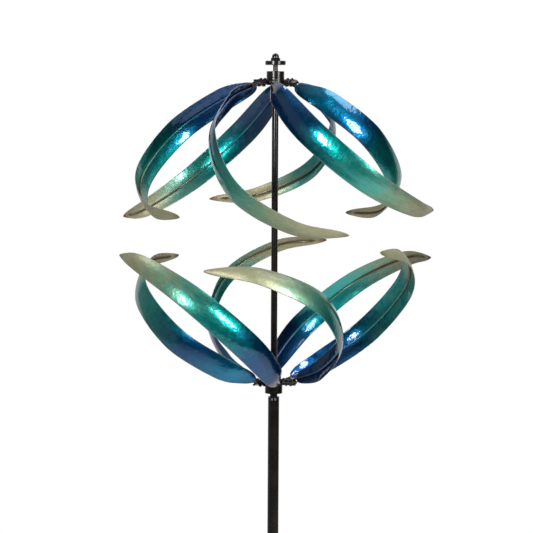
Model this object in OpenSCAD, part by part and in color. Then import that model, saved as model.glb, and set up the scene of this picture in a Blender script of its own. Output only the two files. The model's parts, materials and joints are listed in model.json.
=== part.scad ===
// Kinetic wind sculpture: two counter-turning rotors of curved leaf blades on a garden stake.
// The origin is on the pole's axis at ground level, +Z is up, and all sizes are in millimetres.

/* [Heights] */
// Height of the upper hub's arm plane above the ground
upper_hub_z = 1580; // [1400:1:1700]
// Distance between the arm planes of the two hubs
hub_gap = 593; // [570:1:650]
// Height at which the two pole sections meet
pole_joint_z = 480; // [300:10:700]

/* [Blades] */
// Radius of the blade's centre line at its six stations, root to tip
blade_radius = [48, 112, 197, 260, 291, 306]; // [48:1:400]
// Angle swept round the axis at each station, in degrees
blade_sweep = [-5, 10, 25.5, 46.5, 70.5, 90.5]; // [-6:0.5:120]
// Distance below the arm's underside at each station
blade_drop = [7, 33.5, 99.5, 187.5, 244.5, 254.5]; // [6.5:0.5:300]
// Lean of the blade's face about its centre line at each station, in degrees
blade_lean = [20, 30, 30, 37, 38, 14]; // [0:1:60]
// Greatest width of a blade
blade_w = 54; // [30:1:60]
// Thickness of the blade's sheet
blade_t = 1.2; // [0.8:0.1:2]
// Below 1 the widest point moves towards the root
leaf_skew = 0.75; // [0.6:0.05:1]
// Below 1 the leaf's ends are blunter
leaf_fullness = 0.6; // [0.5:0.05:1]
// Extra width of the rounded root end, as a share of the width there
root_swell = 0.1; // [0:0.05:0.5]
// Depth of the leaf's curved section as a share of its width
leaf_camber = 0.11; // [0.05:0.01:0.15]
// Diameter of the wire rib along the blade's hollow side
rib_d = 4; // [3:0.5:5]

/* [Blade setting] */
// Turn of the upper rotor at rest, in degrees
upper_turn = -4; // [-30:0.5:30]
// Turn of the lower rotor at rest, in degrees
lower_turn = -8; // [-30:0.5:30]
// Roll of each upper blade about its arm, set by hand, in degrees
upper_roll = [1, -2.5, 2, -1.5, 1, -4.5]; // [-6:0.5:6]
// Roll of each lower blade about its arm
lower_roll = [-0.5, 5, -1.5, 2, -4, 1.5]; // [-6:0.5:6]
// Yaw of each upper arm from its even spacing
upper_yaw = [-1.5, 1.5, -0.5, 0, -0.5, 2]; // [-3:0.5:3]
// Yaw of each lower arm from its even spacing
lower_yaw = [-1, 0, 0.5, 1, -2, 1]; // [-3:0.5:3]
// Droop of each upper blade at its root bend
upper_droop = [1.5, 1, 0, 0.5, 0, -0.5]; // [-3:0.5:3]
// Droop of each lower blade at its root bend
lower_droop = [1.5, -1, -1, -1, -3, 1]; // [-3:0.5:3]

/* [Hubs] */
// Outer diameter of the hub
hub_d = 34.6; // [34:0.2:38]
// Height of the hub above its arm plane
hub_top = 20.5; // [20:0.5:26]
// Thickness of each arm plate and of each root tab
arm_t = 3; // [2:0.5:3]
// Width of an arm
arm_w = 14; // [12:1:16]
// Width of the root tab that bolts to an arm
tab_w = 12; // [10:1:14]
// Radius at which an arm ends
arm_end = 48; // [46:1:48]
// Radii of the two bolts in each arm
arm_bolt_r = [26, 35.5]; // [26:0.5:36]
// Diameter of the arm bolts
arm_bolt_d = 4; // [4:0.5:5]

/* [Bearings] */
// Bore of each ball bearing
bearing_bore = 12.7; // [12.7:0.1:12.7]
// Outer diameter of each ball bearing
bearing_od = 28.575; // [28:0.005:28.6]
// Width of each ball bearing
bearing_w = 7.94; // [7.9:0.01:8]
// Diameter of the balls
ball_d = 4.76; // [4:0.01:4.8]
// Number of balls in each bearing
ball_count = 9; // [7:1:9]

/* [Shaft and top] */
// Diameter of the threaded stud above the upper hub
stud_d = 9.525; // [8:0.005:10]
// Diameter of the retaining disc
disc_d = 40; // [30:1:60]
// Thickness of the retaining disc
disc_t = 8; // [4:0.5:12]
// Gap between the upper hub and the retaining disc
disc_gap = 12.3; // [6:0.1:20]
// Width across the flats of the acorn nut
nut_af = 15.9; // [13:0.1:18]
// Diameter of the acorn nut's dome
dome_d = 14; // [12:0.5:15]

/* [Pole] */
// Outer diameter of the pole
pole_d = 22.2; // [20:0.1:25]
// Wall of the pole's tube
pole_wall = 1.6; // [1.2:0.1:2]
// Height of the plug's neck between the pole and the lower hub
neck_h = 7.5; // [5:0.5:15]
// Diameter of the plug's neck
neck_d = 14.7; // [14.2:0.1:16]

/* [Ground stake] */
// Side of the square step plate
plate_side = 100; // [90:5:150]
// Thickness of the step plate
plate_t = 5; // [4:0.5:8]
// Height of the pole socket above the step plate
socket_h = 90; // [60:5:140]
// Length of the ground prongs
prong_l = 200; // [120:10:300]
// Diameter of the ground prongs
prong_d = 10; // [8:0.5:12]
// Distance between neighbouring prongs
prong_spacing = 70; // [60:1:80]

/* [Hidden] */
$fn = 48;
fit_gap = 0.1;
blade_count = 6;
lower_hub_z = upper_hub_z - hub_gap;

// Blade: rings along its length and points across its section
blade_rings = 27;
blade_cols = 6;
rib_rings = 24;
end_crowding = 0.09;
root_swell_reach = 0.04;
tip_w = 2.5;
rib_gap = 0.15;
rib_root = [40.5, -3.5, -3.6];
last_station = len(blade_radius) - 1;
root_r = blade_radius[0];

// Hub stack, measured from the plane where its two arm plates meet
lock_ring_h = 3;
hub_foot = -arm_t - lock_ring_h;
spigot_d = bearing_od + 3;
low_bearing_z = hub_foot + 0.5;
top_bearing_z = hub_top - 2.6 - bearing_w;
land_d = 25;
arm_start = hub_d / 2 + 2;
arm_neck = 4;
tab_start = hub_d / 2 + arm_neck;
arm_hole_d = arm_bolt_d + 0.2;

// Arm bolts
bolt_af = 7;
bolt_head_h = 2.8;
bolt_nut_h = 3.2;
bolt_stub = 2;

// Bearings
pitch_r = (bearing_bore + bearing_od) / 4;
ball_r = ball_d / 2;
groove_r = ball_r + 0.06;
inner_land_r = pitch_r - 1.6;
outer_land_r = pitch_r + 1.6;
cage_h = 6.4;
cage_wall = 0.6;

// Shaft, snap rings and spacers
shaft_d = bearing_bore;
snap_t = 1.2;
snap_groove_d = shaft_d - 0.8;
snap_d = shaft_d + 4;
snap_gap_w = 5;
spacer_d = shaft_d + 3.3;
stud_foot_z = upper_hub_z + hub_top - 0.5;
disc_z = upper_hub_z + hub_top + disc_gap;
nut_h = 5.8;
nut_total_h = 14.8;
thread_in_nut = 10;

// Pole, plug and coupler
pole_bore = pole_d - 2 * pole_wall;
pole_top_z = lower_hub_z - hub_top - neck_h;
plug_l = 60;
shaft_depth = 50;
set_screw_d = 4;
set_screw_spread = 17;
set_screw_drop = 4;
coupler_l = 140;
coupler_bore = 13;
cross_screw_d = 5;
cross_screw_z = [-32, 32];
cross_head_d = 9;

// Ground stake
plate_corner_r = 10;
socket_bore = pole_d + 0.4;
socket_wall = 3;
socket_d = socket_bore + 2 * socket_wall;
clamp_screw_d = 8;
clamp_screw_z = plate_t + 60;
gusset_t = 3;
gusset_w = 26;
gusset_h = 45;
point_l = 25;

paint = "#1d1b1c";
steel = "#8d9196";
blade_blue = "#0f6f8f";
blade_green = "#5fae97";
rib_paint = "#3a4a55";

// ---- Curves -------------------------------------------------------------------------------

// Stations with one more added beyond each end, so that a curve can pass through all of them
function with_ends(p) = concat([2 * p[0] - p[1]], p, [2 * p[len(p) - 1] - p[len(p) - 2]]);

// Smooth curve through the stations, at s from 0 at the root to 1 at the tip
function through(p, s) =
    let(
        e = with_ends(p),
        x = s * (len(p) - 1),
        i = min(floor(x), len(p) - 2),
        f = x - i,
        a = e[i],
        b = e[i + 1],
        c = e[i + 2],
        d = e[i + 3]
    )
    (2 * b + (c - a) * f + (2 * a - 5 * b + 4 * c - d) * f ^ 2
        + (3 * b - a - 3 * c + d) * f ^ 3) / 2;

centre_stations = [
    for (i = [0 : last_station])
        [
            blade_radius[i] * cos(blade_sweep[i]),
            blade_radius[i] * sin(blade_sweep[i]),
            -blade_drop[i]
        ]
];

function unit(v) = v / norm(v);
function centre_at(s) = through(centre_stations, s);
function tangent_at(s) = unit(centre_at(min(1, s + 0.001)) - centre_at(max(0, s - 0.001)));

// Outward direction square to the centre line, before the blade leans
function outward_at(s) =
    let(c = centre_at(s), t = tangent_at(s), r = unit([c.x, c.y, 0]))
    unit(r - (r * t) * t);

// The blade's face direction and its width direction
function face_at(s) =
    let(n = outward_at(s), b = cross(tangent_at(s), n), lean = through(blade_lean, s))
    n * cos(lean) + b * sin(lean);
function across_at(s) = cross(tangent_at(s), face_at(s));

// Width of the leaf, rounded at the root and drawn out to the tip
function leaf_width(s) =
    let(leaf = blade_w * abs(sin(180 * max(s, 0.0001) ^ leaf_skew)) ^ leaf_fullness)
    max(tip_w, leaf * (1 + root_swell * exp(-s / root_swell_reach)));

// Point of the sheet at s, at q from -1 to 1 across its width and h off its middle surface
function sheet_point(s, q, h) =
    let(w = leaf_width(s))
    centre_at(s) + across_at(s) * w * q / 2
        + face_at(s) * (h - leaf_camber * w * (q ^ 2 - 1 / 3));

// Ring positions, crowded towards the two ends where the outline turns fastest
function crowded(u) = u - end_crowding * sin(360 * u);
function ring_place(i) = crowded(i / blade_rings);

function blade_ring(s) = concat(
    [for (j = [0 : blade_cols]) sheet_point(s, 2 * j / blade_cols - 1, blade_t / 2)],
    [for (j = [blade_cols : -1 : 0]) sheet_point(s, 2 * j / blade_cols - 1, -blade_t / 2)]
);

// A point of the arm frame, leant over about X like the blade's root
function leant(p) =
    let(a = blade_lean[0])
    [p.x, p.y * cos(a) - p.z * sin(a), p.y * sin(a) + p.z * cos(a)];

// The rib's centre line: from under the tab to the blade's root, then along its hollow side
rib_path = concat(
    [leant(rib_root)],
    [for (i = [0 : rib_rings]) sheet_point(ring_place(i), 0, -blade_t / 2 - rib_d / 2 - rib_gap)]
);

// Six points round the rib, square to its path, at point i of the path
function rib_ring(i) =
    let(
        run = rib_path[min(i + 1, rib_rings + 1)] - rib_path[max(i - 1, 0)],
        up = unit(cross(across_at(ring_place(max(i - 1, 0))), run)),
        side = unit(cross(run, up))
    )
    [for (a = [150 : -60 : -150]) rib_path[i] + (up * sin(a) + side * cos(a)) * rib_d / 2];

// ---- Shared shapes ------------------------------------------------------------------------

// Closed solid through rings that have the same even number of points
module loft(rings) {
    m = len(rings[0]);
    n = len(rings);
    half = m / 2;
    points = [for (ring = rings) each ring];
    sides = [
        for (i = [0 : n - 2], j = [0 : m - 1])
            let(a = i * m + j, b = i * m + (j + 1) % m)
            each [[a, b + m, b], [a, a + m, b + m]]
    ];
    first_cap = [
        for (j = [0 : half - 2])
            each [[j, m - 2 - j, m - 1 - j], [j, j + 1, m - 2 - j]]
    ];
    last_cap = [for (f = first_cap) [for (v = [2 : -1 : 0]) f[v] + (n - 1) * m]];
    polyhedron(points = points, faces = concat(sides, first_cap, last_cap), convexity = 6);
}

// Plain round tube standing on z = 0
module tube(od, id, h) {
    difference() {
        cylinder(d = od, h = h);
        translate([0, 0, -1])
            cylinder(d = id, h = h + 2);
    }
}

// Cylinder of revolution outline given as [radius, height] points
module turned(outline) {
    rotate_extrude($fn = 64)
        polygon(outline);
}

// Moves an upper rotor's part to the upper hub, or turns it over to the lower one
module rotor(lower) {
    translate([0, 0, lower ? lower_hub_z : upper_hub_z])
        rotate([0, lower ? 180 : 0, 0])
            children();
}

// Arm frame: X runs out along arm k, and z = 0 is the plane where the tab meets the arm
function arm_angle(lower, k) =
    270 + 60 * k + (lower ? lower_turn + lower_yaw[k] : upper_turn + upper_yaw[k]);
function arm_roll(lower, k) = lower ? lower_roll[k] : upper_roll[k];
function arm_droop(lower, k) = lower ? lower_droop[k] : upper_droop[k];
function arm_level(k) = (k % 2 == 0 ? 1 : -1) * arm_t / 2;

module on_arm(lower, k) {
    rotate([0, 0, arm_angle(lower, k)])
        translate([0, 0, arm_level(k) - arm_t / 2])
            children();
}

// Tilts an arm's outer strip and its tab to the blade's own lean at the root
module tilted(lower, k) {
    rotate([blade_lean[0] + arm_roll(lower, k), 0, 0])
        children();
}

// Turns a blade about its root, by its hand-set roll and droop
module set_by_hand(lower, k) {
    translate([root_r, 0, 0])
        rotate([0, arm_droop(lower, k), 0])
            rotate([arm_roll(lower, k), 0, 0])
                translate([-root_r, 0, 0])
                    children();
}

// ---- Blades and ribs ----------------------------------------------------------------------

module blade(lower, k) {
    color(lower ? blade_green : blade_blue)
        rotor(lower)
            on_arm(lower, k)
                set_by_hand(lower, k)
                    loft([for (i = [0 : blade_rings]) blade_ring(ring_place(i))]);
}

// Flat root tab with two bolt holes, and the wire rib welded under its outer end
module rib(lower, k) {
    color(rib_paint)
        rotor(lower)
            on_arm(lower, k) {
                tilted(lower, k)
                    root_tab();
                set_by_hand(lower, k)
                    loft([for (i = [0 : rib_rings + 1]) rib_ring(i)]);
            }
}

module root_tab() {
    difference() {
        translate([tab_start, -tab_w / 2, -arm_t])
            cube([arm_end - tab_start, tab_w, arm_t]);
        for (r = arm_bolt_r)
            translate([r, 0, -arm_t - 1])
                cylinder(d = arm_hole_d, h = arm_t + 2);
    }
}

// ---- Hubs ---------------------------------------------------------------------------------

// Housing with a seat for a ball bearing at each end and a spigot for the arm plates
module hub(lower) {
    color(paint)
        rotor(lower)
            difference() {
                union() {
                    translate([0, 0, arm_t])
                        cylinder(d = hub_d, h = hub_top - arm_t);
                    translate([0, 0, hub_foot])
                        cylinder(d = spigot_d, h = arm_t - hub_foot);
                }
                translate([0, 0, hub_foot - 1])
                    cylinder(d = bearing_od, h = low_bearing_z + bearing_w - hub_foot + 1);
                translate([0, 0, hub_foot])
                    cylinder(d = land_d, h = hub_top - hub_foot);
                translate([0, 0, top_bearing_z])
                    cylinder(d = bearing_od, h = hub_top);
            }
}

// Ring that clamps the arm plates against the housing's shoulder, with four spanner slots
module lock_ring(lower) {
    color(paint)
        rotor(lower)
            translate([0, 0, hub_foot])
                difference() {
                    tube(hub_d, spigot_d, lock_ring_h);
                    for (a = [45 : 90 : 315])
                        rotate([0, 0, a])
                            translate([hub_d / 2 - 0.8, -1.5, -1])
                                cube([2, 3, lock_ring_h]);
                }
}

// Three-armed plate. Plate a holds the odd blades and plate b, above it, the even ones.
module arm_plate(lower, first) {
    color(paint)
        rotor(lower) {
            translate([0, 0, arm_level(first) - arm_t / 2])
                tube(hub_d, spigot_d, arm_t);
            for (k = [first : 2 : blade_count - 1])
                on_arm(lower, k)
                    arm(lower, k);
        }
}

module arm(lower, k) {
    difference() {
        union() {
            translate([hub_d / 2 - 0.6, -tab_w / 2, 0])
                cube([arm_neck, tab_w, arm_t]);
            tilted(lower, k)
                translate([arm_start, -arm_w / 2, 0])
                    cube([arm_end - arm_start, arm_w, arm_t]);
        }
        tilted(lower, k)
            for (r = arm_bolt_r)
                translate([r, 0, -1])
                    cylinder(d = arm_hole_d, h = arm_t + 2);
    }
}

module at_bolts(lower) {
    color(paint)
        rotor(lower)
            for (k = [0 : blade_count - 1], r = arm_bolt_r)
                on_arm(lower, k)
                    tilted(lower, k)
                        translate([r, 0, 0])
                            children();
}

// Hexagon bolts, heads under the tabs, with their threaded ends through the nuts
module arm_bolts(lower) {
    at_bolts(lower) {
        translate([0, 0, -arm_t - bolt_head_h])
            cylinder(d = bolt_af / cos(30), h = bolt_head_h, $fn = 6);
        translate([0, 0, -arm_t - bolt_head_h / 2])
            cylinder(d = arm_bolt_d, h = 2 * arm_t + bolt_nut_h + bolt_stub + bolt_head_h / 2);
    }
}

module arm_nuts(lower) {
    at_bolts(lower)
        translate([0, 0, arm_t])
            difference() {
                cylinder(d = bolt_af / cos(30), h = bolt_nut_h, $fn = 6);
                translate([0, 0, -1])
                    cylinder(d = arm_bolt_d, h = bolt_nut_h + 2);
            }
}

// ---- Bearings -----------------------------------------------------------------------------

module at_bearings(lower) {
    rotor(lower)
        for (z = [low_bearing_z, top_bearing_z])
            translate([0, 0, z + bearing_w / 2])
                children();
}

// Ring between radii r1 and r2, centred on z = 0, with the ball groove cut round it
module grooved_ring(r1, r2) {
    rotate_extrude($fn = 64)
        difference() {
            translate([r1, -bearing_w / 2])
                square([r2 - r1, bearing_w]);
            translate([pitch_r, 0])
                circle(r = groove_r);
        }
}

module inner_rings(lower) {
    color(steel)
        at_bearings(lower)
            grooved_ring(bearing_bore / 2, inner_land_r);
}

module outer_rings(lower) {
    color(steel)
        at_bearings(lower)
            grooved_ring(outer_land_r, bearing_od / 2);
}

module balls(lower) {
    color(steel)
        at_bearings(lower)
            for (i = [0 : ball_count - 1])
                rotate([0, 0, 360 * i / ball_count])
                    translate([pitch_r, 0, 0])
                        sphere(r = ball_r);
}

module cages(lower) {
    color("#b08d57")
        at_bearings(lower)
            difference() {
                translate([0, 0, -cage_h / 2])
                    tube(2 * (pitch_r + cage_wall), 2 * (pitch_r - cage_wall), cage_h);
                for (i = [0 : ball_count - 1])
                    rotate([0, 0, 360 * i / ball_count])
                        rotate([0, 90, 0])
                            cylinder(r = ball_r + fit_gap, h = bearing_od / 2);
            }
}

// ---- Shaft and top ------------------------------------------------------------------------

// Heights of the snap ring grooves: under and over the upper hub's bearings, and over the lower's
snap_z = [
    upper_hub_z + low_bearing_z - snap_t,
    upper_hub_z + top_bearing_z + bearing_w,
    lower_hub_z - low_bearing_z
];

module shaft() {
    foot = pole_top_z - shaft_depth;
    color(paint)
        difference() {
            union() {
                translate([0, 0, foot])
                    cylinder(d = shaft_d, h = stud_foot_z - foot);
                translate([0, 0, stud_foot_z])
                    cylinder(d = stud_d, h = disc_z + disc_t + thread_in_nut - stud_foot_z);
            }
            for (z = snap_z)
                translate([0, 0, z])
                    tube(snap_d, snap_groove_d, snap_t);
        }
}

// Open rings that hold the bearings on the shaft
module snap_rings() {
    color(steel)
        for (z = snap_z)
            translate([0, 0, z])
                difference() {
                    tube(snap_d, snap_groove_d, snap_t);
                    translate([0, -snap_gap_w / 2, -1])
                        cube([snap_d, snap_gap_w, snap_t + 2]);
                }
}

// Sleeves that space the inner rings of each hub's two bearings
module inner_spacers() {
    h = top_bearing_z - low_bearing_z - bearing_w;
    color(steel)
        for (lower = [false, true])
            rotor(lower)
                translate([0, 0, low_bearing_z + bearing_w])
                    tube(spacer_d, shaft_d, h);
}

// Thick disc that keeps the upper rotor on and sheds rain from its bearing
module retaining_disc() {
    edge = 0.8;
    r = disc_d / 2;
    color(paint)
        translate([0, 0, disc_z])
            turned([
                [stud_d / 2, 0],
                [r - edge, 0],
                [r, edge],
                [r, disc_t - edge],
                [r - edge, disc_t],
                [stud_d / 2, disc_t]
            ]);
}

// Hexagon nut with chamfered corners and a closed dome
module acorn_nut() {
    corner_r = nut_af / sqrt(3);
    flat_r = nut_af / 2;
    color(paint)
        translate([0, 0, disc_z + disc_t])
            difference() {
                union() {
                    intersection() {
                        cylinder(r = corner_r, h = nut_h, $fn = 6);
                        turned([
                            [0, 0],
                            [flat_r, 0],
                            [corner_r, 0.8],
                            [corner_r, nut_h - 1.2],
                            [flat_r - 0.3, nut_h],
                            [0, nut_h]
                        ]);
                    }
                    cylinder(d = dome_d, h = nut_total_h - dome_d / 2);
                    translate([0, 0, nut_total_h - dome_d / 2])
                        sphere(d = dome_d);
                }
                translate([0, 0, -1])
                    cylinder(d = stud_d, h = thread_in_nut + 1.5);
            }
}

// ---- Pole ---------------------------------------------------------------------------------

// Radial holes for the plug's two set screws, on the pole's front
module at_set_screws() {
    for (a = [-set_screw_spread, set_screw_spread])
        translate([0, 0, pole_top_z - set_screw_drop])
            rotate([0, 0, 270 + a])
                rotate([0, 90, 0])
                    children();
}

// Cross holes for the coupler's two screws
module at_cross_screws() {
    for (z = cross_screw_z)
        translate([0, 0, pole_joint_z + z])
            rotate([-90, 0, 0])
                children();
}

module upper_pole() {
    color(paint)
        difference() {
            translate([0, 0, pole_joint_z])
                tube(pole_d, pole_bore, pole_top_z - pole_joint_z);
            at_set_screws()
                cylinder(d = set_screw_d + fit_gap, h = pole_d);
            at_cross_screws()
                cylinder(d = cross_screw_d + fit_gap, h = 2 * pole_d, center = true);
        }
}

module lower_pole() {
    color(paint)
        difference() {
            translate([0, 0, plate_t])
                tube(pole_d, pole_bore, pole_joint_z - plate_t);
            at_cross_screws()
                cylinder(d = cross_screw_d + fit_gap, h = 2 * pole_d, center = true);
        }
}

// Inner sleeve that joins the two pole sections
module pole_coupler() {
    color(steel)
        difference() {
            translate([0, 0, pole_joint_z - coupler_l / 2])
                tube(pole_bore - fit_gap, coupler_bore, coupler_l);
            at_cross_screws()
                cylinder(d = cross_screw_d + fit_gap, h = 2 * pole_d, center = true);
        }
}

// Button-head screws through the pole sections and the coupler
module coupler_screws() {
    color(paint)
        at_cross_screws() {
            translate([0, 0, -pole_d / 2 - 1])
                cylinder(d = cross_screw_d, h = pole_d + 2);
            translate([0, 0, pole_d / 2])
                turned([
                    [0, 0],
                    [cross_head_d / 2, 0],
                    [cross_head_d / 2 - 0.8, 1.8],
                    [cross_head_d / 2 - 2.2, 2.6],
                    [0, 2.6]
                ]);
        }
}

// Turned plug in the pole's top, whose neck carries the lower hub's bearings
module pole_plug() {
    neck_top = lower_hub_z - top_bearing_z - bearing_w;
    color(paint)
        difference() {
            union() {
                translate([0, 0, pole_top_z - plug_l])
                    cylinder(d = pole_bore, h = plug_l);
                translate([0, 0, pole_top_z - 1])
                    cylinder(d = neck_d, h = neck_top - pole_top_z + 1);
            }
            translate([0, 0, pole_top_z - shaft_depth])
                cylinder(d = shaft_d, h = shaft_depth + hub_top + neck_h);
            at_set_screws()
                cylinder(d = set_screw_d + fit_gap, h = pole_d);
        }
}

module plug_set_screws() {
    color(steel)
        at_set_screws()
            translate([0, 0, shaft_d / 2])
                cylinder(d = set_screw_d, h = pole_d / 2 + 0.3 - shaft_d / 2);
}

// ---- Ground stake -------------------------------------------------------------------------

// Square step plate with round corners
module ground_plate() {
    inner = plate_side - 2 * plate_corner_r;
    color(paint)
        union() {
            translate([-inner / 2, -plate_side / 2, 0])
                cube([inner, plate_side, plate_t]);
            translate([-plate_side / 2, -inner / 2, 0])
                cube([plate_side, inner, plate_t]);
            for (x = [-inner / 2, inner / 2], y = [-inner / 2, inner / 2])
                translate([x, y, 0])
                    cylinder(r = plate_corner_r, h = plate_t);
        }
}

// Four pointed rods welded under the plate
module ground_prongs() {
    p = prong_spacing / 2;
    color(paint)
        for (x = [-p, p], y = [-p, p])
            translate([x, y, -prong_l])
                turned([
                    [0, 0],
                    [0.8, 0],
                    [prong_d / 2, point_l],
                    [prong_d / 2, prong_l],
                    [0, prong_l]
                ]);
}

module pole_socket() {
    color(paint)
        difference() {
            translate([0, 0, plate_t])
                tube(socket_d, socket_bore, socket_h);
            translate([0, 0, clamp_screw_z])
                rotate([90, 0, 0])
                    cylinder(d = clamp_screw_d + fit_gap, h = socket_d);
        }
}

// Four triangular ribs between the plate and the socket
module socket_gussets() {
    foot_r = socket_d / 2;
    color(paint)
        for (a = [45 : 90 : 315])
            rotate([0, 0, a])
                translate([0, gusset_t / 2, plate_t])
                    rotate([90, 0, 0])
                        linear_extrude(gusset_t)
                            polygon([
                                [foot_r, 0],
                                [foot_r + gusset_w, 0],
                                [foot_r + gusset_w, 4],
                                [foot_r + 4, gusset_h],
                                [foot_r, gusset_h]
                            ]);
}

// Hexagon screw that clamps the pole in its socket
module socket_clamp_screw() {
    head_af = 13;
    head_h = 5.5;
    reach = socket_d / 2 + 3;
    color(steel)
        translate([0, 0, clamp_screw_z])
            rotate([90, 0, 0]) {
                translate([0, 0, pole_d / 2])
                    cylinder(d = clamp_screw_d, h = reach - pole_d / 2 + 1);
                translate([0, 0, reach])
                    cylinder(d = head_af / cos(30), h = head_h, $fn = 6);
            }
}

// ---- Parts --------------------------------------------------------------------------------

ground_plate();
ground_prongs();
pole_socket();
socket_gussets();
socket_clamp_screw();
lower_pole();
pole_coupler();
coupler_screws();
upper_pole();
pole_plug();
plug_set_screws();
shaft();
snap_rings();
inner_spacers();
inner_rings(true);  // lower_inner_rings
inner_rings(false);  // upper_inner_rings
retaining_disc();
acorn_nut();
balls(true);  // lower_balls
cages(true);  // lower_cages
outer_rings(true);  // lower_outer_rings
hub(true);  // lower_hub
lock_ring(true);  // lower_lock_ring
arm_plate(true, 1);  // lower_arm_plate_a
arm_plate(true, 0);  // lower_arm_plate_b
arm_bolts(true);  // lower_arm_bolts
arm_nuts(true);  // lower_arm_nuts
rib(true, 0);  // lower_rib_1
rib(true, 1);  // lower_rib_2
rib(true, 2);  // lower_rib_3
rib(true, 3);  // lower_rib_4
rib(true, 4);  // lower_rib_5
rib(true, 5);  // lower_rib_6
blade(true, 0);  // lower_blade_1
blade(true, 1);  // lower_blade_2
blade(true, 2);  // lower_blade_3
blade(true, 3);  // lower_blade_4
blade(true, 4);  // lower_blade_5
blade(true, 5);  // lower_blade_6
balls(false);  // upper_balls
cages(false);  // upper_cages
outer_rings(false);  // upper_outer_rings
hub(false);  // upper_hub
lock_ring(false);  // upper_lock_ring
arm_plate(false, 1);  // upper_arm_plate_a
arm_plate(false, 0);  // upper_arm_plate_b
arm_bolts(false);  // upper_arm_bolts
arm_nuts(false);  // upper_arm_nuts
rib(false, 0);  // upper_rib_1
rib(false, 1);  // upper_rib_2
rib(false, 2);  // upper_rib_3
rib(false, 3);  // upper_rib_4
rib(false, 4);  // upper_rib_5
rib(false, 5);  // upper_rib_6
blade(false, 0);  // upper_blade_1
blade(false, 1);  // upper_blade_2
blade(false, 2);  // upper_blade_3
blade(false, 3);  // upper_blade_4
blade(false, 4);  // upper_blade_5
blade(false, 5);  // upper_blade_6
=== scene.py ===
import json
import math

import bmesh
import bpy
from mathutils import Matrix, Vector, noise


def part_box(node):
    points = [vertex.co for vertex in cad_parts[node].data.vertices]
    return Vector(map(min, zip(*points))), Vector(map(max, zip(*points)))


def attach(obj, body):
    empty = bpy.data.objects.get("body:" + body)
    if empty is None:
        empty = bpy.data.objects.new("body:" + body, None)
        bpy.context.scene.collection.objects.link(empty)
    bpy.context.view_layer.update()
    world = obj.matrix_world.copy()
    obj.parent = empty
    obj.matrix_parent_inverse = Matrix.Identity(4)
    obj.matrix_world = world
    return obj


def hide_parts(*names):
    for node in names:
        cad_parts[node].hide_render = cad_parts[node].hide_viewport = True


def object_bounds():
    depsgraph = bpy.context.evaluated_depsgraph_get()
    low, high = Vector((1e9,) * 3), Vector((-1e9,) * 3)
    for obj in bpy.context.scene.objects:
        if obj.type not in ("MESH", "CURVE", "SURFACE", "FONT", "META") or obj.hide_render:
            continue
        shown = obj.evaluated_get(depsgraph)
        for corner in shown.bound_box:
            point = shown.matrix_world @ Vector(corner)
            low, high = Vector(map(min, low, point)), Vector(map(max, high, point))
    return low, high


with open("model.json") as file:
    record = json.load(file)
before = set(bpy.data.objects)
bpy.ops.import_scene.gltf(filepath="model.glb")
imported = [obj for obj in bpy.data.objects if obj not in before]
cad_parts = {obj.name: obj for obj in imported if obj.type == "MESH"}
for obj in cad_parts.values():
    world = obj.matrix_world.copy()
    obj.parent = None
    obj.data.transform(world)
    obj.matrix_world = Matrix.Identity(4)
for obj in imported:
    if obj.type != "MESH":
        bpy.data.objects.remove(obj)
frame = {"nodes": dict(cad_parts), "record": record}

MM = 0.001
CAD_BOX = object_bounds()

# ---- Driving dimensions, in millimetres and degrees, as the blades are designed -------------

BLADE_RADIUS = (48, 112, 197, 260, 291, 306)
BLADE_SWEEP = (-5, 10, 25.5, 46.5, 70.5, 90.5)
BLADE_DROP = (7, 33.5, 99.5, 187.5, 244.5, 254.5)
BLADE_LEAN = (20, 30, 30, 37, 38, 14)
BLADE_W = 54
BLADE_T = 1.2
LEAF_SKEW = 0.75
LEAF_FULLNESS = 0.6
LEAF_CAMBER = 0.11
ROOT_SWELL = 0.1
ROOT_SWELL_REACH = 0.04
TIP_W = 2.5
RIB_D = 4
RIB_ROOT = (40.5, -3.5, -3.6)
ARM_T = 3
TAB_W = 12
TAB_START = 21.3
TAB_END = 48
ARM_BOLT_R = (26, 35.5)
ARM_HOLE_D = 4.2

# One rotor: the turn at rest, then roll, yaw and droop of blades 1 to 6 as they are set by hand
ROTORS = {
    "upper": {
        "turn": -4,
        "roll": (1, -2.5, 2, -1.5, 1, -4.5),
        "yaw": (-1.5, 1.5, -0.5, 0, -0.5, 2),
        "droop": (1.5, 1, 0, 0.5, 0, -0.5),
    },
    "lower": {
        "turn": -8,
        "roll": (-0.5, 5, -1.5, 2, -4, 1.5),
        "yaw": (-1, 0, 0.5, 1, -2, 1),
        "droop": (1.5, -1, -1, -1, -3, 1),
    },
}
BLADE_COUNT = 6

# Mesh resolution of a blade, a rib and its root tab
BLADE_RINGS = 170
BLADE_COLS = 22
RIB_RINGS = 130
RIB_BEND_RINGS = 18
RIB_SIDES = 14
TAB_END_SIDES = 12
HOLE_SIDES = 24
# How strongly a blade's rings crowd towards its ends
END_CROWDING = 0.11
# How far a sheet's round edge stands out, in half thicknesses
EDGE_BULGE = 0.8
# Added to the place across the blade on its hollow side
HOLLOW_SHIFT = 4.0

# Where along the blade the rib meets the sheet, and where it ends
RIB_START = 0.016
RIB_FINISH = 0.955
# Pull of the rib's bend at its two ends
RIB_LEAVING = (9, -1, -1.5)
RIB_ARRIVING = 9
# The rib's taper at its end: how steep, how far past the end it would vanish, and what is left
RIB_TAPER = 30
RIB_VANISHING = 0.012
RIB_THINNEST = 0.15
# Gap between the rib and the sheet, which the weld fills
RIB_GAP = 0.05

# Hammered dents: how many along a blade, their width, and the heights of the two layers
DENTS_ALONG = 26
DENT_W = 22
DENT_HEIGHTS = (0.28, 0.10)
DENT_FINER = 2.3
# Dents fade out where the leaf is narrower than this
DENT_FADE_W = 20
# Keeps the dents of different blades apart
BLADE_SEED_STEP = 7.3
LOWER_SEED = 10

# Radiance of the unlit parts of the studio
DARK_STUDIO = 0.02
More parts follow.
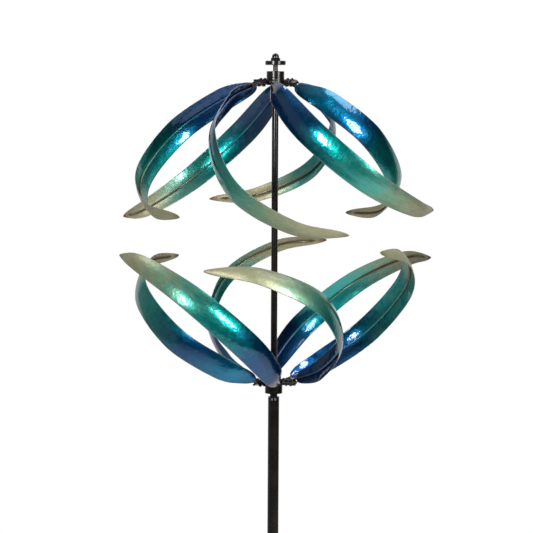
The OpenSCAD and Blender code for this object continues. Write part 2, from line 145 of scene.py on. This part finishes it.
# Lights: name, azimuth and elevation in degrees, distance and size in metres, radiance
SOFTBOXES = (
    ("key_left", -25, 13, 1.9, (0.38, 0.5), 50),
    ("key_right", 42, 17, 3.3, (1.05, 1.2), 30),
    ("rim_right", 94, 58, 3.0, (2.2, 1.3), 5.5),
    ("rim_left", -118, 56, 3.0, (1.1, 0.9), 10),
)

# Camera: place in metres, tilt down and roll in degrees, and focal length in picture widths
CAMERA_PLACE = (-0.0155, -3.229, 1.5195)
CAMERA_PITCH = 5.33
CAMERA_ROLL = 0.3
CAMERA_FOCAL = 3.0863
SENSOR_W = 36

FLOOR_RADIUS = 3.3
FLOOR_SIDES = 96


# ---- Blade geometry ------------------------------------------------------------------------


def through(values, s):
    """Smooth curve through evenly spaced stations, at s from 0 to 1."""
    ends = [2 * values[0] - values[1], *values, 2 * values[-1] - values[-2]]
    x = s * (len(values) - 1)
    i = min(int(x), len(values) - 2)
    f = x - i
    a, b, c, d = ends[i:i + 4]
    return (2 * b + (c - a) * f + (2 * a - 5 * b + 4 * c - d) * f ** 2
            + (3 * b - a - 3 * c + d) * f ** 3) / 2


STATIONS = [
    Vector((r * math.cos(math.radians(t)), r * math.sin(math.radians(t)), -d))
    for r, t, d in zip(BLADE_RADIUS, BLADE_SWEEP, BLADE_DROP)
]


def centre_at(s):
    """Point of the blade's centre line, in the arm's frame."""
    return through(STATIONS, s)


def axes_at(s):
    """The blade's width direction and its face direction at s."""
    along = (centre_at(min(1, s + 0.001)) - centre_at(max(0, s - 0.001))).normalized()
    centre = centre_at(s)
    radial = Vector((centre.x, centre.y, 0)).normalized()
    outward = (radial - radial.dot(along) * along).normalized()
    lean = math.radians(through(BLADE_LEAN, s))
    face = outward * math.cos(lean) + along.cross(outward) * math.sin(lean)
    return along.cross(face), face


def leaf_width(s):
    """Width of the leaf at s: a skewed arch that is fuller next to the root."""
    leaf = BLADE_W * abs(math.sin(math.pi * max(s, 0.0001) ** LEAF_SKEW)) ** LEAF_FULLNESS
    return max(TIP_W, leaf * (1 + ROOT_SWELL * math.exp(-s / ROOT_SWELL_REACH)))


def hammered(s, q, seed):
    """Height of the hand-hammered dents at a point of the sheet, in millimetres."""
    width = leaf_width(s)
    p = Vector((s * DENTS_ALONG, q * width / DENT_W, seed * BLADE_SEED_STEP))
    coarse, fine = DENT_HEIGHTS
    dents = noise.noise(p) * coarse + noise.noise(p * DENT_FINER) * fine
    return dents * min(1, width / DENT_FADE_W)


def sheet_point(s, q, h, seed=None):
    """Point of the sheet: q from -1 to 1 across it, h above its middle, dented if seeded."""
    across, face = axes_at(s)
    w = leaf_width(s)
    lift = h - LEAF_CAMBER * w * (q ** 2 - 1 / 3)
    if seed is not None:
        lift += hammered(s, q, seed)
    return centre_at(s) + across * (w * q / 2) + face * lift


def crowded(u):
    """Evenly spaced u from 0 to 1, crowded towards both ends."""
    return u - END_CROWDING * math.sin(2 * math.pi * u)


def rolled_edge(s, side, seed):
    """Three points that carry the sheet's round edge from its outer to its hollow face."""
    across, face = axes_at(s)
    middle = sheet_point(s, side, 0, seed)
    half = BLADE_T / 2
    return [
        middle + across * side * half * math.cos(a) * EDGE_BULGE + face * half * math.sin(a)
        for a in (math.pi / 4, 0, -math.pi / 4)
    ]


def blade_ring(s, seed):
    """Points round the sheet's section, and how far each lies across the blade.

    The hollow side's places are HOLLOW_SHIFT further on, so that a material can tell it apart.
    """
    across = [2 * j / BLADE_COLS - 1 for j in range(BLADE_COLS + 1)]
    half = BLADE_T / 2
    top = [(sheet_point(s, q, half, seed), q) for q in across]
    right = [(p, 1.0) for p in rolled_edge(s, 1, seed)]
    under = [(sheet_point(s, q, -half, seed), q + HOLLOW_SHIFT) for q in reversed(across)]
    left = [(p, -1.0) for p in reversed(rolled_edge(s, -1, seed))]
    return top + right + under + left


def circle_angles(sides):
    """Angles of a circle's corners."""
    return [2 * math.pi * i / sides for i in range(sides)]


def rib_radius(s):
    """The rib's radius at s: it thins out where it ends, short of the tip."""
    taper = min(1, (RIB_FINISH + RIB_VANISHING - s) * RIB_TAPER)
    return RIB_D / 2 * max(RIB_THINNEST, taper)


def rib_centre(s):
    """The rib's middle where it lies under the sheet."""
    return sheet_point(s, 0, -BLADE_T / 2 - rib_radius(s) - RIB_GAP)


def rib_bend(u):
    """The rib's bend, at u from 0 under the root tab to 1 where it meets the sheet."""
    lean = Matrix.Rotation(math.radians(BLADE_LEAN[0]), 3, "X")
    start = lean @ Vector(RIB_ROOT)
    finish = rib_centre(RIB_START)
    leaving = lean @ Vector(RIB_LEAVING)
    arriving = (rib_centre(RIB_START + 0.01) - finish).normalized() * RIB_ARRIVING
    return (
        start * (2 * u ** 3 - 3 * u ** 2 + 1) + leaving * (u ** 3 - 2 * u ** 2 + u)
        + finish * (3 * u ** 2 - 2 * u ** 3) + arriving * (u ** 3 - u ** 2)
    )


def rib_rings():
    """Rings along the rib's bend and then along the sheet, and how far along each lies."""
    bend = [(i / RIB_BEND_RINGS, 0.0) for i in range(RIB_BEND_RINGS)]
    path = [(rib_bend(u), s) for u, s in bend]
    reach = RIB_FINISH - RIB_START
    straight = [RIB_START + reach * i / RIB_RINGS for i in range(RIB_RINGS + 1)]
    path += [(rib_centre(s), s) for s in straight]
    turn = circle_angles(RIB_SIDES)
    rings = []
    for i, (centre, s) in enumerate(path):
        run = path[min(i + 1, len(path) - 1)][0] - path[max(i - 1, 0)][0]
        up = axes_at(s)[0].cross(run).normalized()
        side = run.cross(up).normalized()
        r = rib_radius(s)
        rings.append([(centre + (side * math.cos(a) + up * math.sin(a)) * r, 0.0) for a in turn])
    return rings, [s for _, s in path]


def loft(bm, rings, places, shape_uv):
    """Skins rings of equal length, closes both ends, and stores s and (q + 1) / 2 as UVs."""
    rows = [[bm.verts.new(p) for p, _ in ring] for ring in rings]
    m = len(rows[0])

    def skin(corners, uvs):
        face = bm.faces.new(corners)
        face.smooth = True
        for loop, uv in zip(face.loops, uvs):
            loop[shape_uv].uv = uv

    for i in range(len(rows) - 1):
        for j in range(m):
            k = (j + 1) % m
            corners = (rows[i][j], rows[i + 1][j], rows[i + 1][k], rows[i][k])
            qs = (rings[i][j][1], rings[i + 1][j][1], rings[i + 1][k][1], rings[i][k][1])
            ss = (places[i], places[i + 1], places[i + 1], places[i])
            skin(corners, [(s, (q + 1) / 2) for s, q in zip(ss, qs)])
    for row, s, ring in ((rows[0], places[0], rings[0]), (rows[-1], places[-1], rings[-1])):
        order = row if row is rows[0] else row[::-1]
        skin(order, [(s, 0.5)] * m)


# ---- Placing on the rotors -----------------------------------------------------------------


def turn_about(axis, degrees, point):
    """Rotation about an axis through a point."""
    p = Vector(point)
    return (Matrix.Translation(p) @ Matrix.Rotation(math.radians(degrees), 4, axis)
            @ Matrix.Translation(-p))


def hub_plane(side):
    """Height of the plane between a hub's two arm plates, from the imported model."""
    lower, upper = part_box(f"{side}_lock_ring")
    reach = ARM_T * MM
    return (upper.z + reach) if side == "upper" else (lower.z - reach)


def arm_matrix(side, k):
    """Arm frame, in metres: X out along the arm, z = 0 where the tab meets the arm."""
    rotor = ROTORS[side]
    level = (1 if k % 2 == 0 else -1) * ARM_T / 2
    turned = Matrix.Identity(4) if side == "upper" else Matrix.Rotation(math.pi, 4, "Y")
    return (
        Matrix.Translation((0, 0, hub_plane(side))) @ turned
        @ Matrix.Scale(MM, 4)
        @ Matrix.Rotation(math.radians(270 + 60 * k + rotor["turn"] + rotor["yaw"][k]), 4, "Z")
        @ Matrix.Translation((0, 0, level - ARM_T / 2))
    )


def set_by_hand(side, k):
    """The small roll and droop that blade k was given when it was bolted on."""
    rotor = ROTORS[side]
    root = (BLADE_RADIUS[0], 0, 0)
    return turn_about("Y", rotor["droop"][k], root) @ turn_about("X", rotor["roll"][k], root)


def to_object(bm, name, matrix):
    """Turns a finished mesh in the matrix's frame into an object of the scene."""
    bm.transform(matrix)
    bmesh.ops.recalc_face_normals(bm, faces=bm.faces)
    mesh = bpy.data.meshes.new(name)
    bm.to_mesh(mesh)
    bm.free()
    piece = bpy.data.objects.new(name, mesh)
    bpy.context.scene.collection.objects.link(piece)
    return piece


def make_blade(side, k, material):
    """Blade k of one rotor, with dents of its own."""
    bm = bmesh.new()
    uv = bm.loops.layers.uv.new("leaf")
    places = [crowded(i / BLADE_RINGS) for i in range(BLADE_RINGS + 1)]
    seed = k + (LOWER_SEED if side == "lower" else 0)
    loft(bm, [blade_ring(s, seed) for s in places], places, uv)
    piece = to_object(bm, f"{side}_leaf_{k + 1}", arm_matrix(side, k) @ set_by_hand(side, k))
    piece.data.materials.append(material)
    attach(piece, f"{side}_rotor")
    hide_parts(f"{side}_blade_{k + 1}")
    return piece


def tab_outlines():
    """The root tab's outer edge, with a round outer end, and its bolt holes, as flat loops."""
    half = TAB_W / 2
    end = TAB_END - half
    edge = [(TAB_START, half), (TAB_START, -half)]
    for i in range(TAB_END_SIDES + 1):
        a = math.pi * i / TAB_END_SIDES
        edge.append((end + half * math.sin(a), -half * math.cos(a)))
    turn = circle_angles(HOLE_SIDES)
    hole_r = ARM_HOLE_D / 2
    holes = [[(r + hole_r * math.cos(a), hole_r * math.sin(a)) for a in turn] for r in ARM_BOLT_R]
    return [edge, *holes]


def add_root_tab(bm, uv, tilt):
    """Adds the flat root tab, bored for its two bolts, to the rib's mesh."""
    flat = bmesh.new()
    edges = []
    for outline in tab_outlines():
        loop = [flat.verts.new((x, y, 0)) for x, y in outline]
        n = len(loop)
        edges += [flat.edges.new((loop[i], loop[(i + 1) % n])) for i in range(n)]
    bmesh.ops.triangle_fill(flat, use_beauty=True, use_dissolve=False, edges=edges)
    faces = list(flat.faces)
    grown = bmesh.ops.extrude_face_region(flat, geom=faces)
    moved = [v for v in grown["geom"] if isinstance(v, bmesh.types.BMVert)]
    bmesh.ops.translate(flat, verts=moved, vec=(0, 0, ARM_T))
    bmesh.ops.translate(flat, verts=flat.verts, vec=(0, 0, -ARM_T))
    flat.transform(tilt)
    mesh = bpy.data.meshes.new("bar")
    flat.to_mesh(mesh)
    flat.free()
    before = len(bm.faces)
    bm.from_mesh(mesh)
    bpy.data.meshes.remove(mesh)
    bm.faces.ensure_lookup_table()
    for face in bm.faces[before:]:
        for loop in face.loops:
            loop[uv].uv = (0.0, 0.5)


def make_rib(side, k, material):
    """The wire rib of blade k with its root tab."""
    bm = bmesh.new()
    uv = bm.loops.layers.uv.new("leaf")
    rings, places = rib_rings()
    loft(bm, rings, places, uv)
    bm.transform(set_by_hand(side, k))
    tilt = Matrix.Rotation(math.radians(BLADE_LEAN[0] + ROTORS[side]["roll"][k]), 4, "X")
    add_root_tab(bm, uv, tilt)
    piece = to_object(bm, f"{side}_wire_{k + 1}", arm_matrix(side, k))
    piece.data.materials.append(material)
    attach(piece, f"{side}_rotor")
    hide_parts(f"{side}_rib_{k + 1}")
    return piece


# ---- Materials -----------------------------------------------------------------------------


class Nodes:
    """Shorthand for building the node tree of a material or a world."""

    def __init__(self, owner):
        owner.use_nodes = True
        self.owner = owner
        self.tree = owner.node_tree
        self.shader = self.tree.nodes.get("Principled BSDF")

    def add(self, kind, **settings):
        made = self.tree.nodes.new(kind)
        for key, value in settings.items():
            setattr(made, key, value)
        return made

    def link(self, source, target):
        self.tree.links.new(source, target)

    def feed(self, target, value):
        """Connects value to target when it is a socket, and sets it when it is a number."""
        if hasattr(value, "is_output"):
            self.link(value, target)
        else:
            target.default_value = value

    def maths(self, operation, a, b=0.0, clamp=False):
        made = self.add("ShaderNodeMath", operation=operation, use_clamp=clamp)
        self.feed(made.inputs[0], a)
        self.feed(made.inputs[1], b)
        return made.outputs[0]

    def noise(self, scale, detail=2.0, roughness=0.5):
        place = self.add("ShaderNodeTexCoord").outputs["Object"]
        made = self.add("ShaderNodeTexNoise")
        self.link(place, made.inputs["Vector"])
        made.inputs["Scale"].default_value = scale
        made.inputs["Detail"].default_value = detail
        made.inputs["Roughness"].default_value = roughness
        return made.outputs["Fac"]

    def ramp(self, value, stops):
        made = self.add("ShaderNodeValToRGB")
        self.feed(made.inputs["Fac"], value)
        points = made.color_ramp.elements
        while len(points) < len(stops):
            points.new(0.5)
        for point, (place, colour) in zip(points, stops):
            point.position = place
            point.color = (*colour, 1)
        return made.outputs["Color"]

    def ramp_value(self, value, ends):
        """Maps a value linearly between two (place, result) ends, and holds it beyond them."""
        made = self.add("ShaderNodeMapRange", clamp=True)
        self.feed(made.inputs["Value"], value)
        (place_a, result_a), (place_b, result_b) = ends
        made.inputs["From Min"].default_value = place_a
        made.inputs["From Max"].default_value = place_b
        made.inputs["To Min"].default_value = result_a
        made.inputs["To Max"].default_value = result_b
        return made.outputs["Result"]

    def smooth(self, value, places, results):
        """Like ramp_value, but easing in and out between the two places."""
        made = self.add("ShaderNodeMapRange", interpolation_type="SMOOTHSTEP")
        self.feed(made.inputs["Value"], value)
        made.inputs["From Min"].default_value = places[0]
        made.inputs["From Max"].default_value = places[1]
        made.inputs["To Min"].default_value = results[0]
        made.inputs["To Max"].default_value = results[1]
        return made.outputs["Result"]

    def spread(self, value, low, high):
        """Maps 0 to 1 linearly to low to high."""
        made = self.add("ShaderNodeMapRange")
        self.feed(made.inputs["Value"], value)
        made.inputs["To Min"].default_value = low
        made.inputs["To Max"].default_value = high
        return made.outputs["Result"]

    def mix(self, share, a, b, blend="MIX"):
        made = self.add("ShaderNodeMix", data_type="RGBA", blend_type=blend)
        self.feed(made.inputs["Factor"], share)
        for place, colour in ((6, a), (7, b)):
            plain = isinstance(colour, tuple)
            self.feed(made.inputs[place], (*colour, 1) if plain else colour)
        return made.outputs[2]

    def bump(self, height, strength, distance, after=None):
        made = self.add("ShaderNodeBump")
        made.inputs["Strength"].default_value = strength
        made.inputs["Distance"].default_value = distance
        self.feed(made.inputs["Height"], height)
        if after is not None:
            self.link(after, made.inputs["Normal"])
        return made.outputs["Normal"]


def rgb(r, g, b):
    """Linear colour from an 8-bit sRGB one."""
    def linear(c):
        c /= 255
        return c / 12.92 if c <= 0.04045 else ((c + 0.055) / 1.055) ** 2.4
    return tuple(linear(c) for c in (r, g, b))


# Lacquer along a blade's outer side, as (share of its length, linear colour)
LACQUER = (
    (0.00, (0.001, 0.065, 0.150)),
    (0.12, (0.000, 0.165, 0.300)),
    (0.22, (0.000, 0.130, 0.245)),
    (0.34, (0.000, 0.058, 0.180)),
    (0.42, (0.000, 0.145, 0.185)),
    (0.50, (0.001, 0.285, 0.255)),
    (0.60, (0.048, 0.300, 0.235)),
    (0.69, (0.160, 0.270, 0.170)),
    (0.78, (0.255, 0.270, 0.160)),
    (0.90, (0.250, 0.245, 0.143)),
)
# Painted shade: the roots of blades 1 and 6 face the camera at a grazing angle and reflect the
# dark studio, so their lacquer starts with a deeper navy
NAVY_ROOT_PAINTED_SHADE = (
    (0.00, (0.012, 0.014, 0.060)),
    (0.12, (0.006, 0.026, 0.110)),
    (0.22, (0.003, 0.070, 0.190)),
)
# Blades whose roots get the deeper navy of painted shade
PAINTED_SHADE_BLADES = (1, 6)
# Lacquer along the hollow side, darker near the root and tanner near the tip
HOLLOW_LACQUER = (
    (0.00, (0.003, 0.030, 0.105)),
    (0.12, (0.001, 0.050, 0.165)),
    (0.22, (0.000, 0.046, 0.145)),
    (0.34, (0.000, 0.040, 0.125)),
    (0.42, (0.000, 0.130, 0.175)),
    (0.50, (0.001, 0.320, 0.300)),
    (0.60, (0.038, 0.300, 0.255)),
    (0.69, (0.165, 0.320, 0.230)),
    (0.78, (0.330, 0.315, 0.175)),
    (0.90, (0.330, 0.300, 0.185)),
)
RUST = (0.12, 0.04, 0.015)
BARE_EDGE = (0.10, 0.09, 0.10)
GRAIN = (0.01, 0.03, 0.05)
BRUSH_MARKS = (0.02, 0.035, 0.04)


def leaf_masks(n):
    """How far along the blade a point is, whether it is on the hollow side or on the edge."""
    uv = n.add("ShaderNodeUVMap", uv_map="leaf").outputs["UV"]
    split = n.add("ShaderNodeSeparateXYZ")
    n.link(uv, split.inputs[0])
    along, across = split.outputs["X"], split.outputs["Y"]
    hollow = n.maths("GREATER_THAN", across, 1.5)
    local = n.maths("SUBTRACT", across, n.maths("MULTIPLY", hollow, HOLLOW_SHIFT / 2))
    from_middle = n.maths("ABSOLUTE", n.maths("SUBTRACT", local, 0.5))
    edge = n.ramp_value(from_middle, [(0.482, 0.0), (0.499, 1.0)])
    return along, hollow, edge


def streaks(n):
    """Fine brush and rolling marks along the blade, as a value round a half."""
    uv = n.add("ShaderNodeUVMap", uv_map="leaf").outputs["UV"]
    stretched = n.add("ShaderNodeMapping")
    n.link(uv, stretched.inputs["Vector"])
    stretched.inputs["Scale"].default_value = (26, 22, 1)
    marks = n.add("ShaderNodeTexNoise")
    n.link(stretched.outputs["Vector"], marks.inputs["Vector"])
    marks.inputs["Scale"].default_value = 1
    marks.inputs["Detail"].default_value = 3
    return marks.outputs["Fac"]


def sprayed_place(n, along):
    """Place along the blade with borders drifted by clouds, mist and specks of spray."""
    drift = 0.0
    for scale, detail, reach in ((22, 4, 0.16), (75, 3, 0.13), (260, 2, 0.12)):
        patches = n.maths("SUBTRACT", n.noise(scale, detail, 0.6), 0.5)
        drift = n.maths("ADD", drift, n.maths("MULTIPLY", patches, reach))
    return n.maths("ADD", along, drift, clamp=True)


def rusty(n, along, hollow, edge):
    """Where rust shows: over the tip, and in spots towards it that are thickest at the edge."""
    tip = n.ramp_value(along, [(0.955, 0.0), (0.995, 1.0)])
    tip = n.maths("MULTIPLY", tip, n.spread(hollow, 0.45, 0.9))
    worn = n.ramp_value(n.noise(160, 4, 0.7), [(0.60, 0.0), (0.68, 0.7)])
    far = n.ramp_value(along, [(0.35, 0.0), (0.75, 1.0)])
    near_edge = n.ramp_value(edge, [(0.0, 0.25), (1.0, 1.0)])
    spots = n.maths("MULTIPLY", n.maths("MULTIPLY", worn, far), near_edge)
    return n.maths("MAXIMUM", tip, spots)


def lacquer_colour(n, along, hollow, edge, lacquer):
    """Colour of the lacquer, with its grain, brush marks, bare edges and rust."""
    place = sprayed_place(n, along)
    colour = n.mix(hollow, n.ramp(place, lacquer), n.ramp(place, HOLLOW_LACQUER))
    colour = n.mix(n.spread(n.noise(420, 2, 0.5), 0.0, 0.24), colour, GRAIN)
    marks = n.ramp_value(streaks(n), [(0.45, 0.0), (0.68, 0.30)])
    colour = n.mix(marks, colour, BRUSH_MARKS)
    colour = n.mix(n.maths("MULTIPLY", edge, 0.6), colour, BARE_EDGE)
    return n.mix(rusty(n, along, hollow, edge), colour, RUST)


def blade_paint(name, lacquer):
    """Candy lacquer over hammered steel, shaded from indigo at the root to khaki at the tip."""
    n = Nodes(bpy.data.materials.new(name))
    along, hollow, edge = leaf_masks(n)
    n.link(lacquer_colour(n, along, hollow, edge, lacquer), n.shader.inputs["Base Color"])
    shine = n.ramp_value(along, [(0.5, 0.97), (0.88, 0.4)])
    n.link(n.maths("MULTIPLY", shine, n.ramp_value(edge, [(0, 1), (1, 0.3)])),
           n.shader.inputs["Metallic"])
    matt = n.ramp_value(along, [(0.6, 0.0), (0.85, 0.16)])
    n.link(n.maths("ADD", n.spread(n.noise(75, 3, 0.6), 0.29, 0.39), matt),
           n.shader.inputs["Roughness"])
    n.shader.inputs["Specular Tint"].default_value = (0.45, 0.42, 0.42, 1)
    n.link(n.ramp_value(along, [(0.55, 1.0), (0.80, 0.12)]), n.shader.inputs["Coat Weight"])
    n.link(n.ramp_value(along, [(0.5, 0.03), (0.85, 0.2)]), n.shader.inputs["Coat Roughness"])
    n.shader.inputs["Coat IOR"].default_value = 1.38
    dents = n.bump(n.noise(125, 1.5, 0.5), 0.55, 0.0009)
    fine = n.bump(n.noise(400, 2, 0.5), 0.3, 0.0003, dents)
    n.link(fine, n.shader.inputs["Normal"])
    n.link(dents, n.shader.inputs["Coat Normal"])
    return n.owner


def rib_paint():
    """Dark lacquer that follows the blade's colours, and goes rusty towards the tip."""
    n = Nodes(bpy.data.materials.new("rib_lacquer"))
    uv = n.add("ShaderNodeUVMap", uv_map="leaf").outputs["UV"]
    split = n.add("ShaderNodeSeparateXYZ")
    n.link(uv, split.inputs[0])
    patches = n.maths("MULTIPLY", n.maths("SUBTRACT", n.noise(60, 3, 0.6), 0.5), 0.2)
    place = n.maths("ADD", split.outputs["X"], patches, clamp=True)
    colour = n.ramp(place, [
        (0.02, rgb(18, 18, 20)),
        (0.06, rgb(14, 20, 60)),
        (0.26, rgb(0, 60, 110)),
        (0.44, rgb(0, 110, 110)),
        (0.58, rgb(70, 96, 70)),
        (0.72, rgb(82, 58, 30)),
        (1.00, rgb(70, 40, 22)),
    ])
    n.link(colour, n.shader.inputs["Base Color"])
    n.shader.inputs["Metallic"].default_value = 0.4
    n.link(n.spread(n.noise(300, 2), 0.28, 0.46), n.shader.inputs["Roughness"])
    n.shader.inputs["Coat Weight"].default_value = 0.6
    n.shader.inputs["Coat Roughness"].default_value = 0.1
    n.link(n.bump(n.noise(500, 3), 0.3, 0.0006), n.shader.inputs["Normal"])
    return n.owner


def black_paint():
    """Glossy black powder coat with a faint orange peel and dust in its roughness."""
    n = Nodes(bpy.data.materials.new("black_powder_coat"))
    wear = n.noise(45, 5, 0.65)
    n.link(n.ramp(wear, [(0.35, rgb(12, 10, 9)), (0.7, rgb(24, 20, 18))]),
           n.shader.inputs["Base Color"])
    n.link(n.spread(n.noise(160, 3, 0.6), 0.17, 0.27), n.shader.inputs["Roughness"])
    n.shader.inputs["Specular IOR Level"].default_value = 0.3
    peel = n.bump(n.noise(240, 1, 0.5), 0.15, 0.0001)
    n.link(peel, n.shader.inputs["Normal"])
    return n.owner


def bare_metal(name, colour, low, high, scale):
    """Plated or polished metal with fine turning marks in its roughness."""
    n = Nodes(bpy.data.materials.new(name))
    tint = tuple(c * 0.72 for c in colour)
    n.link(n.ramp(n.noise(scale / 4, 4, 0.6), [(0.3, tint), (0.7, colour)]),
           n.shader.inputs["Base Color"])
    n.shader.inputs["Metallic"].default_value = 1.0
    n.link(n.spread(n.noise(scale, 3, 0.6), low, high), n.shader.inputs["Roughness"])
    n.link(n.bump(n.noise(scale * 2, 2), 0.15, 0.0003), n.shader.inputs["Normal"])
    return n.owner


def dress_cad_nodes():
    """Gives every CAD node that stays visible its finish, by the record's material slot."""
    finishes = {
        "black_paint": black_paint(),
        "zinc_steel": bare_metal("zinc_plate", rgb(176, 180, 184), 0.22, 0.4, 300),
        "bearing_steel": bare_metal("polished_steel", rgb(205, 207, 210), 0.08, 0.16, 500),
        "cage_brass": bare_metal("pressed_brass", rgb(196, 160, 92), 0.25, 0.4, 400),
    }
    for sub in frame["record"]["subparts"]:
        finish = finishes.get(sub["material_slot"])
        if finish is None:
            continue
        mesh = frame["nodes"][sub["node"]].data
        mesh.materials.clear()
        mesh.materials.append(finish)


# ---- Stage, light and camera ----------------------------------------------------------------


def make_floor(z):
    """Round pale floor under the prongs' points."""
    bm = bmesh.new()
    bmesh.ops.create_circle(bm, cap_ends=True, segments=FLOOR_SIDES, radius=FLOOR_RADIUS)
    floor = to_object(bm, "floor", Matrix.Translation((0, 0, z)))
    n = Nodes(bpy.data.materials.new("pale_floor"))
    n.shader.inputs["Base Color"].default_value = (0.82, 0.82, 0.82, 1)
    n.shader.inputs["Roughness"].default_value = 0.85
    floor.data.materials.append(n.owner)


def softbox(name, azimuth, elevation, distance, size, radiance, aim):
    """Area light that faces the point aim. Azimuth 0 is the camera's side."""
    a, e = math.radians(azimuth), math.radians(elevation)
    outward = Vector((math.sin(a) * math.cos(e), -math.cos(a) * math.cos(e), math.sin(e)))
    data = bpy.data.lights.new(name, "AREA")
    data.shape = "RECTANGLE"
    data.size, data.size_y = size
    data.energy = radiance * math.pi * size[0] * size[1]
    light = bpy.data.objects.new(name, data)
    light.location = Vector(aim) + outward * distance
    light.rotation_euler = (-outward).to_track_quat("-Z", "Y").to_euler()
    light.visible_camera = False
    bpy.context.scene.collection.objects.link(light)


def room_radiance(n):
    """How bright the studio is round the object, by direction."""
    split = n.add("ShaderNodeSeparateXYZ")
    n.link(n.add("ShaderNodeTexCoord").outputs["Generated"], split.inputs[0])
    x, y, z = split.outputs
    backdrop = n.smooth(y, (0.5, 0.72), (DARK_STUDIO, 0.85))
    left_wall = n.smooth(x, (-0.72, -0.9), (DARK_STUDIO, 0.32))
    ceiling = n.smooth(z, (0.6, 0.85), (DARK_STUDIO, 0.4))
    pale_ground = n.smooth(z, (-0.3, -0.42), (0.0, 0.45))
    below = n.maths("MULTIPLY", pale_ground, n.smooth(x, (0.45, 0.15), (0.15, 1.0)))
    walls = n.maths("MAXIMUM", backdrop, left_wall)
    return n.maths("MAXIMUM", walls, n.maths("MAXIMUM", below, ceiling))


def white_background(n, strength):
    """White background shader of the given strength."""
    made = n.add("ShaderNodeBackground")
    made.inputs["Color"].default_value = (1, 1, 1, 1)
    n.feed(made.inputs["Strength"], strength)
    return made.outputs["Background"]


def make_world():
    """White to the eye; a dim studio with a white backdrop for everything that it lights."""
    n = Nodes(bpy.data.worlds.new("studio"))
    n.tree.nodes.clear()
    mix = n.add("ShaderNodeMixShader")
    n.link(n.add("ShaderNodeLightPath").outputs["Is Camera Ray"], mix.inputs["Fac"])
    n.link(white_background(n, room_radiance(n)), mix.inputs[1])
    n.link(white_background(n, 1.0), mix.inputs[2])
    n.link(mix.outputs["Shader"], n.add("ShaderNodeOutputWorld").inputs["Surface"])
    bpy.context.scene.world = n.owner


def make_lights(middle):
    """Two soft keys in front and a soft rim light over each side, as the highlights ask for."""
    for name, azimuth, elevation, distance, size, radiance in SOFTBOXES:
        softbox(name, azimuth, elevation, distance, size, radiance, (0, 0, middle))


def make_camera():
    """The photo's view: from in front of the upper rotor, tilted a little down."""
    data = bpy.data.cameras.new("camera")
    data.sensor_width = SENSOR_W
    data.lens = SENSOR_W * CAMERA_FOCAL
    camera = bpy.data.objects.new("camera", data)
    pitch, roll = math.radians(CAMERA_PITCH), math.radians(CAMERA_ROLL)
    camera.matrix_world = (
        Matrix.Translation(CAMERA_PLACE)
        @ Matrix.Rotation(math.pi / 2 - pitch, 4, "X")
        @ Matrix.Rotation(roll, 4, "Z")
    )
    bpy.context.scene.collection.objects.link(camera)
    bpy.context.scene.camera = camera


def main():
    """Dresses the CAD nodes, builds the blades and ribs, and sets the studio up."""
    bpy.context.scene.view_settings.view_transform = "Standard"
    dress_cad_nodes()
    petrol = blade_paint("petrol_candy_lacquer", LACQUER)
    # A second copy of the lacquer with painted shade: a deeper navy over the root
    navy = blade_paint("navy_lacquer_painted_shade", NAVY_ROOT_PAINTED_SHADE + LACQUER[3:])
    wire = rib_paint()
    for side in ROTORS:
        for k in range(BLADE_COUNT):
            # Blades 1 and 6 take the copy with the painted shade on their roots
            make_blade(side, k, navy if k + 1 in PAINTED_SHADE_BLADES else petrol)
            make_rib(side, k, wire)
    middle = (hub_plane("upper") + hub_plane("lower")) / 2
    make_world()
    make_lights(middle)
    make_camera()
    make_floor(CAD_BOX[0].z)


main()
